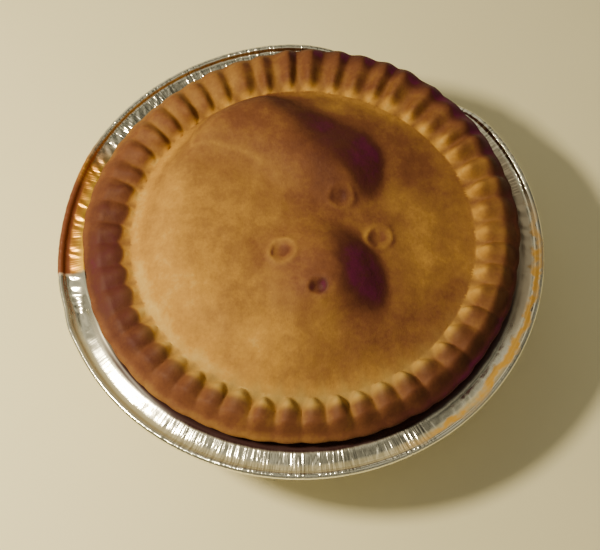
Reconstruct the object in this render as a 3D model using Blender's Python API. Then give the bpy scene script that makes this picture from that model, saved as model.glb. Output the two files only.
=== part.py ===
"""A round meat and potato pie in the foil dish that it was baked in.

Two pieces: the pie, one uncut pastry solid with a crimped rim, a puffed lid
and four steam holes, and the thin foil dish, with a rolled edge, that it sits in.

Metres, +Z up. The origin is the middle of the dish's flat underside. The pie is
seen from -Y in the usual view, so "near" below means -Y and "right" means +X.
"""

import math
import random

import bmesh
import bpy
import numpy as np
from mathutils import Vector, noise
from mathutils.geometry import delaunay_2d_cdt

MM = 0.001

# Foil dish
SHEET = 0.0005  # foil thickness, with its pleats flattened into it
FLOOR_R = 0.0460  # flat floor, out to the foot's bend
FOOT_R = 0.0481  # middle of the foot's bend
FOOT_Z = 0.00125
WALL_FOOT_R = 0.0492
WALL_FOOT_Z = 0.0032
WALL_TOP_R = 0.0566  # where the wall meets the flange's bend
WALL_TOP_Z = 0.0262
BEND_R = 0.0572
BEND_Z = 0.0270
FLANGE_INNER_R = 0.0584
FLANGE_INNER_Z = 0.0279
FLANGE_CREST_R = 0.0598
FLANGE_CREST_Z = 0.0286
FLANGE_OUTER_R = 0.0644
FLANGE_OUTER_Z = 0.0273
BEAD_R = 0.0010  # rolled edge, seen end on
BEAD_CENTRE_R = 0.0661
BEAD_CENTRE_Z = 0.0279
BEAD_FROM = 165  # degrees, over the top and down the outside
BEAD_TO = -110
BEAD_POINTS = 6
DISH_SIDES = 72

# Hands leave the flange uneven. Angles are in degrees from +X.
STEEP_AT = 218  # it slopes outwards most here, and round the other side its crest is lower
CREST_LOWER = 0.0015
CREST_LOWER_MOST = 0.0018
CREST_OUTER_R = 0.0641  # the lowering ends here
EDGE_OUT = 0.0001  # the rolled edge isn't quite round
EDGE_SHIFT = 0.0008
EDGE_SHIFT_AT = 280
CRUSHED = 0.0006
CRUSHED_AT = 172
CRUSHED_SPREAD = 15
HINGE_R = 0.0582  # the far right stretch is pushed down under the pastry, about this line
HINGE_Z = 0.0280
DROOP_AT = 60
DROOP_SPREAD = 17
DROOP_TURN = 62  # at the deepest

# Pie
GAP = 0.00035  # between the pastry and the foil
# The cut edge, over and under, as (radius, height)
CUT_EDGE = ((0.0588, 0.0315), (0.0590, 0.0309), (0.0585, 0.0303))
TUCK_Z = 0.0287  # where the pastry meets the wall, under the cut edge
WALL_SIDES = 100

# Crimps
CRIMPS = 50
CRIMP_STEPS = 6  # corners along each crimp
BAND_RADII = (0.0477, 0.0490, 0.0509, 0.0532, 0.0555, 0.0572, 0.0584)  # rings, outwards
CRIMP_PHASE = -4.1  # degrees from +X, of the first groove
CRIMP_HEIGHT = 0.0027
CRIMP_FULLNESS = 1.15  # above 1 for grooves with a round floor
CRIMP_JITTER = 0.09  # share of a crimp
CRIMP_UNEVEN = 0.20  # share of the height
CRIMP_OVERHANG = 0.0003  # how far a ridge's outer end passes the grooves'
CRIMP_TIP = 0.0466  # the ridges' rounded inner ends
CRIMP_SCALLOP = 0.0026  # how much further out the grooves begin
CRIMP_RISE = 0.0026  # from a tip to the full height
CRIMP_DROOP = 0.25  # how much lower a ridge is near its outer end
CRIMP_END = 0.0538  # where the ridges fall to the lip
LIP_FROM = 0.0577
LIP_FALL = 0.0029  # the lip slopes down to the cut edge
LIP_FALL_FROM = 0.0540
LIP_FALL_TO = 0.0606
GROOVE_FILL = 0.35  # how much shallower the grooves are further out
GROOVE_RISE = 0.0009
FAR_SIDE = 80  # degrees from +X: there the ridges and grooves run on to the cut edge
FAR_SPREAD = 65
FAR_RUN = 0.0028
FAR_RISE = 1.4  # the ridges rise that much more slowly
FAR_ROUND = 0.6  # rounder grooves
FLATTER_SIDE = 195  # the ridges on the left are shallower
FLATTER_SPREAD = 45
FLATTER = 0.52
FLATTER_RISE = 0.9  # and rise that much more slowly

# The rim's plan isn't quite round. Angles are in degrees from +X.
ENDS_OUT = 0.0005  # the crimps' inner ends
ENDS_SHIFT = 0.0012
ENDS_SHIFT_AT = 325
CUT_OUT = 0.00085  # the cut edge
CUT_SHIFT = 0.00055
CUT_SHIFT_AT = 10
BULGE = 0.0010  # it hangs out most, and rides up, on the far right
BULGE_LIFT = 0.0010
BULGE_AT = 58
BULGE_SPREAD = 32

# Lid
LID_R = 0.0464  # out to the foot of the crimps' inner ends
MOAT_Z = 0.0330  # the low ring between the crimps and the lid's puffed part
LID_DOME = 0.0016
RIPPLE = 0.00025
RIPPLE_SIZE = 0.011
LID_STEP = 0.0031  # spacing of the lid's corners
LOBE_BLEND = 0.0050  # rounding of the crease between two lobes
BLEND_ABOVE = 0.0035  # both lobes are this high where they blend fully
OUTLINE_STEPS = 5  # corners on a lobe's outline between two of its points

# The lid's lobes, puffed up by steam: a height, a curve, above 1 for a lobe that is steepest at
# its foot, then the points of the lobe's foot, each (x, y, how far in from there it takes to
# reach the top), all in millimetres
BROAD_LOBE = (
    6.0,
    2.0,
    (
        (-45, 2, 13), (-41.5, -17, 13), (-31, -33, 15), (-12, -44.5, 18), (8, -45, 24),
        (27, -36.5, 40), (40, -21, 60), (45, 0, 78), (39.5, 22, 68), (25, 38, 40), (8, 45, 22),
        (-10, 44.5, 14), (-27, 36.5, 12), (-39, 22.5, 11),
    ),
)
FAR_LOBE = (
    9.2,
    2.0,
    (
        (-33, 23.0, 11), (-28, 36.0, 9), (-18, 43.0, 9), (-8, 45.0, 10), (3, 39.8, 12),
        (11, 33.8, 15), (18.8, 30.2, 18), (23.4, 24.5, 19), (24.4, 17.6, 19), (23.0, 11, 17),
        (18.5, 6, 14), (9, 5, 16), (-3, 7.5, 17), (-14, 14.0, 17), (-24, 19.0, 15),
    ),
)

# The near cliff: its foot is part of a circle, and the mound behind it dies away all round
CLIFF_CENTRE = (0.0031, -0.0181)
CLIFF_R = 0.0195
CLIFF_WIDTH = 0.0130
CLIFF_HEIGHT = 0.0055
CLIFF_CURVE = 1.7
MOUND_WEST = (-0.014, 0.010)  # from nothing to its full height
MOUND_SOUTH = (-0.030, -0.018)
MOUND_NORTH = (0.016, -0.006)

# Steam holes, pressed in a rectangle, in millimetres: x, y, hole radius, depth, ring radius and
# ring height
STEAM_HOLES = (
    (-4.6, -8.9, 2.7, 0.55, 3.7, 0.30),
    (5.3, -20.3, 2.6, 1.20, 3.3, 0.08),
    (11.3, 8.2, 2.4, 0.40, 3.3, 0.16),
    (21.5, -3.4, 2.5, 0.32, 3.4, 0.16),
)
HOLE_TAPER = 0.3  # the hole's floor over its mouth
RING_WIDTH = 0.0009
HOLE_CLEAR = 0.0048  # how far round a hole the corners are its own

PASTRY = ((0.55, 0.30, 0.11, 1.0), 0.62, 0.0)
FOIL = ((0.82, 0.81, 0.79, 1.0), 0.24, 1.0)


def clear_scene():
    for item in list(bpy.data.objects):
        bpy.data.objects.remove(item)


def material(name, finish):
    """A Principled material of one colour, roughness and metallic value."""
    colour, roughness, metallic = finish
    made = bpy.data.materials.new(name)
    made.use_nodes = True
    shader = made.node_tree.nodes["Principled BSDF"]
    shader.inputs["Base Color"].default_value = colour
    shader.inputs["Roughness"].default_value = roughness
    shader.inputs["Metallic"].default_value = metallic
    return made


def place(bm, name, finish, smooth_angle):
    """Turns a bmesh into a named object with its own material."""
    bmesh.ops.recalc_face_normals(bm, faces=bm.faces)
    mesh = bpy.data.meshes.new(name)
    bm.to_mesh(mesh)
    bm.free()
    mesh.shade_smooth()
    mesh.set_sharp_from_angle(angle=math.radians(smooth_angle))
    mesh.materials.append(material(name, finish))
    made = bpy.data.objects.new(name, mesh)
    bpy.context.scene.collection.objects.link(made)
    return made


def ease(t):
    """A smooth step from 0 to 1."""
    t = np.clip(t, 0.0, 1.0)
    return t * t * (3 - 2 * t)


def hill_round(angle, centre, width):
    """A smooth hill, 1 high, round the axis. The angle is in radians, the rest in degrees."""
    away = (np.degrees(angle) - centre + 180) % 360 - 180
    return np.exp(-((away / width) ** 2))


# The foil dish


def foil_section():
    """The foil's inner face as (radius, height), from the middle to the rolled edge."""
    points = [
        (0.0, SHEET),
        (FLOOR_R, SHEET),
        (FOOT_R, FOOT_Z),
        (WALL_FOOT_R, WALL_FOOT_Z),
        (WALL_TOP_R, WALL_TOP_Z),
        (BEND_R, BEND_Z),
        (FLANGE_INNER_R, FLANGE_INNER_Z),
        (FLANGE_CREST_R, FLANGE_CREST_Z),
        (FLANGE_OUTER_R, FLANGE_OUTER_Z),
    ]
    for step in range(BEAD_POINTS):
        turn = math.radians(BEAD_FROM + (BEAD_TO - BEAD_FROM) * step / (BEAD_POINTS - 1))
        points.append((BEAD_CENTRE_R + BEAD_R * math.cos(turn), BEAD_CENTRE_Z + BEAD_R * math.sin(turn)))
    return points


def shape_flange(point):
    """Lowers a point of the flange's crest, takes it out of round and turns it down."""
    radius, angle, height = math.hypot(point.x, point.y), math.atan2(point.y, point.x), point.z
    if radius <= BEND_R:
        return point
    lower = min(CREST_LOWER_MOST, CREST_LOWER * (1 - math.cos(angle - math.radians(STEEP_AT))))
    on_crest = (CREST_OUTER_R - radius) / (CREST_OUTER_R - FLANGE_CREST_R)
    height -= lower * ease((radius - BEND_R) / 0.0022) * min(max(on_crest, 0), 1)
    shift = EDGE_OUT + EDGE_SHIFT * math.cos(angle - math.radians(EDGE_SHIFT_AT))
    shift -= CRUSHED * hill_round(angle, CRUSHED_AT, CRUSHED_SPREAD)
    radius += shift * ease((radius - BEND_R) / 0.0040)
    if radius > HINGE_R:
        turn = math.radians(DROOP_TURN) * hill_round(angle, DROOP_AT, DROOP_SPREAD)
        out, up = radius - HINGE_R, height - HINGE_Z
        radius = HINGE_R + out * math.cos(turn) + up * math.sin(turn)
        height = HINGE_Z - out * math.sin(turn) + up * math.cos(turn)
    return Vector((radius * math.cos(angle), radius * math.sin(angle), height))


def foil_dish():
    """The section is spun into a shell, its flange is bent, and Solidify gives it a thickness."""
    bm = bmesh.new()
    corners = [bm.verts.new((radius, 0, height)) for radius, height in foil_section()]
    edges = [bm.edges.new(pair) for pair in zip(corners, corners[1:])]
    bmesh.ops.spin(
        bm,
        geom=corners + edges,
        axis=(0, 0, 1),
        cent=(0, 0, 0),
        angle=math.tau,
        steps=DISH_SIDES,
        use_merge=True,
    )
    bmesh.ops.remove_doubles(bm, verts=bm.verts, dist=1e-6)
    for corner in bm.verts:
        corner.co = shape_flange(corner.co)
    dish = place(bm, "foil_dish", FOIL, 40)
    wall = dish.modifiers.new("sheet", "SOLIDIFY")
    wall.thickness = SHEET
    wall.offset = -1 if dish.data.polygons[0].normal.z > 0 else 1
    wall.use_even_offset = True
    return dish


# The crimps


def crimp_grooves():
    """The grooves' angles in degrees, unevenly spaced, and the height of the ridge after each."""
    draw = random.Random(11)
    pitch = 360 / CRIMPS
    angles = [CRIMP_PHASE + pitch * (k + CRIMP_JITTER * draw.uniform(-1, 1)) for k in range(CRIMPS)]
    heights = [1 + CRIMP_UNEVEN * draw.uniform(-1, 1) for _ in range(CRIMPS)]
    return angles + [angles[0] + 360], heights


GROOVES, RIDGES = crimp_grooves()


def crimp_spokes():
    """Each spoke's angle in radians, its ridge's height, and the wave across it, from 0 to 1."""
    spokes = []
    for start, end, height in zip(GROOVES, GROOVES[1:], RIDGES):
        for step in range(CRIMP_STEPS):
            share = step / CRIMP_STEPS
            wave = math.sin(math.pi * share) ** CRIMP_FULLNESS
            spokes.append((math.radians(start + (end - start) * share), height, wave))
    return spokes


def crimp_height(radius, angle, ridge, wave):
    """A floor that the grooves reach, and ridges that fade out at both ends."""
    far = hill_round(angle, FAR_SIDE, FAR_SPREAD)
    flatter = hill_round(angle, FLATTER_SIDE, FLATTER_SPREAD)
    tip = CRIMP_TIP + CRIMP_SCALLOP * (1 - wave)
    rise = CRIMP_RISE * (1 + FLATTER_RISE * flatter + FAR_RISE * far)
    inner = 1 - (1 - np.clip((radius - tip) / rise, 0, 1)) ** 2
    droop = 1 - CRIMP_DROOP * ease((radius - 0.0490) / (CRIMP_END - 0.0490))
    outer = droop * (1 - ease((radius - CRIMP_END - FAR_RUN * far) / (LIP_FROM - CRIMP_END)))
    ridged = wave ** (1 + FAR_ROUND * far)
    shape = ridged + (1 - ridged) * GROOVE_FILL * (1 - 0.5 * far) * ease((radius - 0.0490) / 0.0060)
    lip = ease((radius - LIP_FALL_FROM) / (LIP_FALL_TO - LIP_FALL_FROM))
    floor = MOAT_Z + GROOVE_RISE * ease((radius - LID_R) / 0.005) - LIP_FALL * (1 - 0.5 * far) * lip
    return floor + CRIMP_HEIGHT * ridge * (1 - FLATTER * flatter) * inner * outer * shape


def rim_point(radius, angle, height, wave=0.5):
    """A point of the pastry's top or cut edge, once the rim is out of round."""
    ends = ENDS_OUT + ENDS_SHIFT * math.cos(angle - math.radians(ENDS_SHIFT_AT))
    bulge = hill_round(angle, BULGE_AT, BULGE_SPREAD)
    edge = CUT_OUT + CUT_SHIFT * math.cos(angle - math.radians(CUT_SHIFT_AT)) + BULGE * bulge
    wobble = 0.0003 * math.sin(2 * angle + 0.6) + 0.0002 * math.sin(5 * angle)
    wobble += CRIMP_OVERHANG * (wave - 0.5)
    at_ends = ease((radius - 0.0390) / 0.0070) * (1 - ease((radius - 0.0480) / 0.0095))
    out = radius + ends * at_ends + edge * ease((radius - 0.0480) / 0.0105)
    out += wobble * ease((radius - 0.0540) / 0.0046)
    height += BULGE_LIFT * bulge * ease((radius - 0.0500) / 0.0080)
    return Vector((out * math.cos(angle), out * math.sin(angle), height))


# The lid


def outline(points):
    """A smooth closed curve through a lobe's points, as rows of x, y and width in metres."""
    knots = np.array(points) * MM
    before, after, last = np.roll(knots, 1, 0), np.roll(knots, -1, 0), np.roll(knots, -2, 0)
    rows = []
    for step in range(OUTLINE_STEPS):
        t = step / OUTLINE_STEPS
        rows.append(
            0.5
            * (
                2 * knots
                + (after - before) * t
                + (2 * before - 5 * knots + 4 * after - last) * t**2
                + (3 * knots - before - 3 * after + last) * t**3
            )
        )
    return np.stack(rows, 1).reshape(-1, 3)


def lobe(plan, height, curve, points):
    """A lobe's height over each plan point: it rises from its foot, steeply and then gently."""
    start = outline(points)
    end = np.roll(start, -1, 0)
    run = (end - start)[:, :2]
    offset = plan[:, None, :] - start[None, :, :2]
    share = np.clip((offset * run).sum(2) / (run**2).sum(1), 0, 1)
    distance = np.linalg.norm(offset - share[..., None] * run, axis=2)
    width = start[:, 2] + share * (end - start)[:, 2]
    nearest = (distance / width).min(1).clip(0, 1)
    above = (start[:, 1] > plan[:, 1:]) != (end[:, 1] > plan[:, 1:])
    rise = np.where(run[:, 1] == 0, 1, run[:, 1])
    crossing = start[:, 0] + run[:, 0] * (plan[:, 1:] - start[:, 1]) / rise
    inside = (above & (plan[:, :1] < crossing)).sum(1) % 2 == 1
    return np.where(inside, height * MM * (1 - (1 - nearest) ** curve), 0.0)


def near_cliff(plan):
    """What the near cliff and its mound add: nothing beyond the foot, most along the top."""
    inwards = CLIFF_R - np.linalg.norm(plan - np.array(CLIFF_CENTRE), axis=1)
    height = CLIFF_HEIGHT * (1 - (1 - np.clip(inwards / CLIFF_WIDTH, 0, 1)) ** CLIFF_CURVE)
    for axis, (start, end) in ((0, MOUND_WEST), (1, MOUND_SOUTH), (1, MOUND_NORTH)):
        height *= ease((plan[:, axis] - start) / (end - start))
    return height


def higher(a, b):
    """The higher of two lobes, with the crease between them filled, but not their feet."""
    near = np.maximum(0.0, LOBE_BLEND - abs(a - b)) / LOBE_BLEND
    return np.maximum(a, b) + near**2 * LOBE_BLEND / 4 * ease(np.minimum(a, b) / BLEND_ABOVE)


def steam_hole(distance, mouth, depth, ring_at, ring):
    """A tapered hole with a soft raised ring round it."""
    floor = mouth * HOLE_TAPER
    pit = depth * (1 - ease((distance - floor) / (mouth - floor)))
    return ring * np.exp(-(((distance - ring_at) / RING_WIDTH) ** 2)) - pit


def lid_heights(plan):
    """The lid's height over each plan point."""
    radius = np.linalg.norm(plan, axis=1)
    puff = higher(lobe(plan, *BROAD_LOBE) + near_cliff(plan), lobe(plan, *FAR_LOBE))
    ripple = np.array([noise.noise(Vector((x, y, 0)) / RIPPLE_SIZE) for x, y in plan])
    heights = MOAT_Z + LID_DOME * (1 - (radius / LID_R) ** 2) + puff
    heights += RIPPLE * ripple * ease((LID_R - radius) / 0.006)
    for x, y, *sizes in np.array(STEAM_HOLES) * MM:
        heights += steam_hole(np.hypot(plan[:, 0] - x, plan[:, 1] - y), *sizes)
    return heights


def circle(radius, sides, turn=0.0):
    angles = [math.tau * k / sides + turn for k in range(sides)]
    return [(radius * math.cos(a), radius * math.sin(a)) for a in angles]


def lid_plan():
    """The lid's corners seen from above: its edge first, then the holes' rings and the rest."""
    plan = [(LID_R * math.cos(angle), LID_R * math.sin(angle)) for angle, _, _ in crimp_spokes()]
    edge_count = len(plan)
    plan += circle(LID_R - 0.0013, edge_count // 2)
    for x, y, mouth, _, ring_at, _ in np.array(STEAM_HOLES) * MM:
        rings = ((HOLE_CLEAR, 16), (ring_at, 16), (mouth, 14), (mouth * HOLE_TAPER, 8))
        plan.append((x, y))
        for radius, sides in rings:
            plan += [(x + dx, y + dy) for dx, dy in circle(radius, sides)]
    outer = LID_R - 0.0034
    rings = round(outer / LID_STEP)
    for ring in range(rings + 1):
        radius = outer * ring / rings
        for x, y in circle(radius, max(1, round(math.tau * radius / LID_STEP)), turn=0.5 * ring):
            clear = min(math.hypot(x - hx * MM, y - hy * MM) for hx, hy, *_ in STEAM_HOLES)
            if clear > HOLE_CLEAR + 0.5 * LID_STEP:
                plan.append((x, y))
    return plan, edge_count


# The pie


def lid(bm):
    """The lid as one skin, triangulated from its plan. Returns the corners round it, in order."""
    plan, edge_count = lid_plan()
    flat, _, faces, origin, _, _ = delaunay_2d_cdt(
        [Vector(p) for p in plan], [], [list(range(edge_count))], 1, 1e-9
    )
    corners = []
    for place_of, height in zip(flat, lid_heights(np.array([tuple(p) for p in flat]))):
        angle = math.atan2(place_of.y, place_of.x)
        corners.append(bm.verts.new(rim_point(place_of.length, angle, height)))
    for face in faces:
        bm.faces.new([corners[i] for i in face])
    by_plan = {source: corner for corner, sources in zip(corners, origin) for source in sources}
    edge = [by_plan[i] for i in range(edge_count)]
    for corner in edge:
        corner.co.z = MOAT_Z
    return edge


def edges_round(bm, corners):
    return [bm.edges.get(pair) or bm.edges.new(pair) for pair in zip(corners, corners[1:] + corners[:1])]


def extrude_ring(bm, corners, points):
    """Extrudes a ring of corners, moves the new ring onto the points and returns it."""
    made = set(bmesh.ops.extrude_edge_only(bm, edges=edges_round(bm, corners))["geom"])
    ring = []
    for corner, point in zip(corners, points):
        ring.append(next(e.other_vert(corner) for e in corner.link_edges if e.other_vert(corner) in made))
        ring[-1].co = point
    return ring


def rim_rings():
    """The rings of corners from the lid's edge over the crimps and down the cut edge."""
    spokes = crimp_spokes()
    for radius in BAND_RADII:
        heights = [crimp_height(radius, *spoke) for spoke in spokes]
        yield [rim_point(radius, a, height, wave) for (a, _, wave), height in zip(spokes, heights)]
    for radius, height in CUT_EDGE:
        yield [rim_point(radius, a, height, wave) for a, _, wave in spokes]


def side_rings():
    """The rings of the pie's side, which the dish shaped, down to its flat base."""
    for radius, height in (
        (BEND_R - GAP, TUCK_Z),
        (WALL_TOP_R - GAP, WALL_TOP_Z),
        (WALL_FOOT_R - GAP, WALL_FOOT_Z + GAP),
        (FLOOR_R - GAP, SHEET + GAP),
    ):
        yield [(x, y, height) for x, y in circle(radius, WALL_SIDES)]


def pie():
    """The lid's skin, extruded over the crimps, then bridged to the side's plainer rings."""
    bm = bmesh.new()
    corners = lid(bm)
    for points in rim_rings():
        corners = extrude_ring(bm, corners, points)
    loop = edges_round(bm, corners)
    for points in side_rings():
        lower = edges_round(bm, [bm.verts.new(p) for p in points])
        bmesh.ops.bridge_loops(bm, edges=loop + lower)
        loop = lower
    bmesh.ops.contextual_create(bm, geom=loop)
    bmesh.ops.triangulate(bm, faces=bm.faces, quad_method="SHORT_EDGE")
    return place(bm, "pie", PASTRY, 50)


def main():
    clear_scene()
    foil_dish()
    pie()


main()
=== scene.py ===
# %% [markdown]
# # A meat and potato pie in its foil dish
# The solids of the pie and of its dish are loaded as a fixed frame. This lesson dresses them:
# it models the pastry again with a much finer surface, pleats the foil, browns and stains both
# with node materials, and sets a camera and soft light like those of the photograph.
# All lengths are in metres, +Z is up, and the dish stands on the floor at z = 0.

import math
import random

import bpy
import numpy as np
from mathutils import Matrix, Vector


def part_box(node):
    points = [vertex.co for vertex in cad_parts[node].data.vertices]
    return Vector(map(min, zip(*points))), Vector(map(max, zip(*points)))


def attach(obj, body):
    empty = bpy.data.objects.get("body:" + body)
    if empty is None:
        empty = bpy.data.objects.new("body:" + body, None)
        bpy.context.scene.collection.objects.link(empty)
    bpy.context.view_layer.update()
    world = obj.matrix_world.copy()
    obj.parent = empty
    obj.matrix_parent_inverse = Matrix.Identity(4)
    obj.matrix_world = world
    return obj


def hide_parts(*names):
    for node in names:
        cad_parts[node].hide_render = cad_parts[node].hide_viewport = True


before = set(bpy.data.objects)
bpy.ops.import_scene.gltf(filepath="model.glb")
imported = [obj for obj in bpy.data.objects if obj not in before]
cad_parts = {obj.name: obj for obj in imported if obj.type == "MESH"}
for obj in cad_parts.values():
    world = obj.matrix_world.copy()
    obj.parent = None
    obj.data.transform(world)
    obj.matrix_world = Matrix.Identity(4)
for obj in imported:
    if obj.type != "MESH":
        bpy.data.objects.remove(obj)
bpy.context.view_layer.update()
MM = 0.001
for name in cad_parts:
    low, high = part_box(name)
    print(name, "from", *(round(v / MM, 1) for v in low), "mm")
    print(name, "to", *(round(v / MM, 1) for v in high), "mm")

# %% [markdown]
# ## Working like a modeller, but in code
# Every operator acts on what is selected, so each piece starts with nothing selected. A few
# helpers keep the steps short: they clear the selection or pick one piece, read a mesh's corners
# and write them back, and give soft steps and hills.

# %% Helpers for selecting and for moving corners
def start_clean():
    """Object mode, with nothing selected."""
    if bpy.context.object and bpy.context.object.mode != "OBJECT":
        bpy.ops.object.mode_set(mode="OBJECT")
    bpy.ops.object.select_all(action="DESELECT")


def pick(piece):
    """Object mode, with only this piece selected and active."""
    start_clean()
    bpy.context.view_layer.objects.active = piece
    piece.select_set(True)


def read_corners(piece, what="co"):
    """The places of a mesh's corners, or their normals, as rows of x, y and z."""
    flat = np.empty(3 * len(piece.data.vertices))
    piece.data.vertices.foreach_get(what, flat)
    return flat.reshape(-1, 3)


def read_round(piece):
    """The corners' x, y and z, their radius, and their degrees round the axis from +X."""
    x, y, z = read_corners(piece).T
    return x, y, z, np.hypot(x, y), np.degrees(np.arctan2(y, x))


def write_corners(piece, corners):
    piece.data.vertices.foreach_set("co", corners.ravel())
    piece.data.update()


def ease(t):
    """0 below 0, 1 above 1, and a soft S between."""
    t = np.clip(t, 0.0, 1.0)
    return t * t * (3 - 2 * t)


def climb(x, start, run):
    """A soft step from 0 to 1 that begins at the start and takes that run."""
    return ease((x - start) / run)


def hill(x, centre, width):
    """A smooth hill, 1 high at the centre."""
    return np.exp(-(((x - centre) / width) ** 2))


def hill_round(degrees, centre, width):
    """The same hill, round the axis."""
    return hill((degrees - centre + 180) % 360 - 180, 0, width)


def lopsided(degrees, out, shift, towards):
    """A ring's move outwards: the same all round, and a shift towards one side."""
    return out + shift * np.cos(np.radians(degrees - towards))


def span(values):
    """The least and the most of some values, to print."""
    return f"{values.min():.2f} to {values.max():.2f}"


# %% [markdown]
# ## The camera
# The photograph looks down on the pie at about 63 degrees. The dish's rolled edge and the
# pastry's rim are circles, and the ellipses that they look like give the lens and the distance.
# The camera aims a little in front of the pie's middle, because the pie sits high in the picture.

# %% The camera
PICTURE_WIDTH = 600  # pixels
PICTURE_HEIGHT = 550
FOCAL_PIXELS = 1400
DISTANCE = 0.387
ELEVATION = math.radians(62.83)
ROLL = math.radians(-0.8)
AIM_HEIGHT = 0.0285  # the level of the dish's rolled edge
AIM_ROW = 241.9  # the picture row where the pie's axis crosses that level
CLIP_START = 0.01

drop = math.atan((PICTURE_HEIGHT / 2 - AIM_ROW) / FOCAL_PIXELS)
start_clean()
bpy.ops.object.camera_add()
camera = bpy.context.object
camera.name = "camera"
camera.location = (
    0,
    -DISTANCE * math.cos(ELEVATION),
    AIM_HEIGHT + DISTANCE * math.sin(ELEVATION),
)
camera.rotation_mode = "ZYX"
camera.rotation_euler = (math.pi / 2 - ELEVATION - drop, 0, ROLL)
camera.data.lens = camera.data.sensor_width * FOCAL_PIXELS / PICTURE_WIDTH
camera.data.clip_start = CLIP_START
bpy.context.scene.camera = camera
print("lens", round(camera.data.lens, 1), "mm")

# %% [markdown]
# ## The floor
# A plain pale sheet, large enough to fill the picture.

# %% The floor
FLOOR_SIZE = 3

start_clean()
bpy.ops.mesh.primitive_plane_add(size=FLOOR_SIZE)
floor = bpy.context.object
floor.name = "floor"
print("floor:", FLOOR_SIZE, "m across")

# %% [markdown]
# ## The light
# The shadow in the photograph falls to the right, about as long as the dish is high and hardly
# wider than the dish, so the lamp stands at the left, some 50 degrees up. The floor is much
# brighter at the left, so it isn't far away. A disc lamp that faces down gives both, and its
# size makes the shadow's edge soft.

# %% The lamp
LAMP_PLACE = (-0.280, -0.043, 0.360)
LAMP_SIZE = 0.080
LAMP_POWER = 3.43
LAMP_COLOUR = (1.0, 0.87, 0.58)

start_clean()
bpy.ops.object.light_add(type="AREA", location=LAMP_PLACE)
lamp = bpy.context.object
lamp.name = "lamp"
lamp.data.shape = "DISK"
lamp.data.size = LAMP_SIZE
lamp.data.energy = LAMP_POWER
lamp.data.color = LAMP_COLOUR
print("lamp stands", round(LAMP_PLACE[2], 2), "m up")

# %% [markdown]
# ## Nodes as plain expressions
# The room's light and every finish are small programs, made of nodes. To write them like
# programs, a wire stands for a socket, and adding or multiplying wires adds the Math nodes. Any
# other node comes from one method.

# %% Wires
class Wire:
    """A socket's value, which can be used in sums."""

    def __init__(self, look, socket):
        self.look = look
        self.socket = socket

    def maths(self, operation, first, second=0.0, clamp=False):
        settings = {"operation": operation, "use_clamp": clamp}
        return self.look.node("ShaderNodeMath", settings, {0: first, 1: second})

    def __add__(self, other):
        return self.maths("ADD", self, other)

    def __sub__(self, other):
        return self.maths("SUBTRACT", self, other)

    def __rsub__(self, other):
        return self.maths("SUBTRACT", other, self)

    def __mul__(self, other):
        return self.maths("MULTIPLY", self, other)

    def __truediv__(self, other):
        return self.maths("DIVIDE", self, other)

    __radd__ = __add__
    __rmul__ = __mul__

    def step(self, low, high):
        """0 below low, 1 above high, and a soft S between."""
        settings = {"interpolation_type": "SMOOTHSTEP"}
        return self.look.node("ShaderNodeMapRange", settings, {0: self, 1: low, 2: high})

    def kept(self):
        """Kept between 0 and 1."""
        return self.maths("ADD", self, 0.0, clamp=True)


# %% A maker of nodes
class Look:
    """The nodes of a material or a world, made one call at a time."""

    def __init__(self, owner, shader="Principled BSDF"):
        owner.use_nodes = True
        self.owner = owner
        self.tree = owner.node_tree
        self.shader = self.tree.nodes[shader]

    def node(self, kind, settings=None, values=None, output=0):
        """A node of some kind, with its settings made first, and then its sockets fed."""
        made = self.tree.nodes.new(kind)
        for key, value in (settings or {}).items():
            if key == "stops":
                self.set_stops(made.color_ramp, value)
            else:
                setattr(made, key, value)
        for key, value in (values or {}).items():
            self.feed(made.inputs[key], value)
        return Wire(self, made.outputs[output])

    def feed(self, socket, value):
        if isinstance(value, Wire):
            self.tree.links.new(value.socket, socket)
        else:
            socket.default_value = value

    def set_stops(self, ramp, stops):
        while len(ramp.elements) < len(stops):
            ramp.elements.new(1.0)
        for element, (place, colour) in zip(ramp.elements, stops):
            element.position = place
            element.color = (*colour, 1)

    def place(self):
        return self.node("ShaderNodeTexCoord", output="Object")

    def noise(self, place, size, detail=3.0, roughness=0.55):
        values = {"Vector": place, "Scale": 1 / size, "Detail": detail, "Roughness": roughness}
        return self.node("ShaderNodeTexNoise", {}, values)

    def ramp(self, factor, stops):
        return self.node("ShaderNodeValToRGB", {"stops": stops}, {0: factor})

    def mix(self, factor, first, second):
        """A colour between two: a Mix node's colours are its sockets 6 and 7, and 2 goes out."""
        settings = {"data_type": "RGBA"}
        return self.node("ShaderNodeMix", settings, {0: factor, 6: first, 7: second}, 2)

    def bump(self, height, distance, strength=1.0, under=None):
        values = {"Height": height, "Distance": distance, "Strength": strength}
        if under:
            values["Normal"] = under
        return self.node("ShaderNodeBump", {}, values)

    def set(self, **values):
        """Feeds the shader's own sockets."""
        for key, value in values.items():
            self.feed(self.shader.inputs[key.replace("_", " ")], value)


# %% [markdown]
# ## The room
# A dim warm room fills the shadows. One even grey would make the foil look like paint, so the
# room is cloudy, with a few broad bright walls, and the foil's pleats turn them into streaks.

# %% The room
FILL_COLOUR = (1.0, 0.91, 0.66, 1)
ROOM_CLOUDS = 2.6
ROOM_LEVELS = (0.38, 0.62, 0.05, 0.31)  # the clouds from these two values become those two
# each wall: its direction, the cosines at its edge and its core, and its strength
BRIGHT_WALLS = (
    ((0.20, -0.25, 0.95), 0.80, 0.97, 0.24),
    ((-0.62, 0.58, 0.53), 0.72, 0.95, 0.36),
    ((-0.15, 0.93, 0.32), 0.80, 0.96, 0.22),
)

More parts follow.
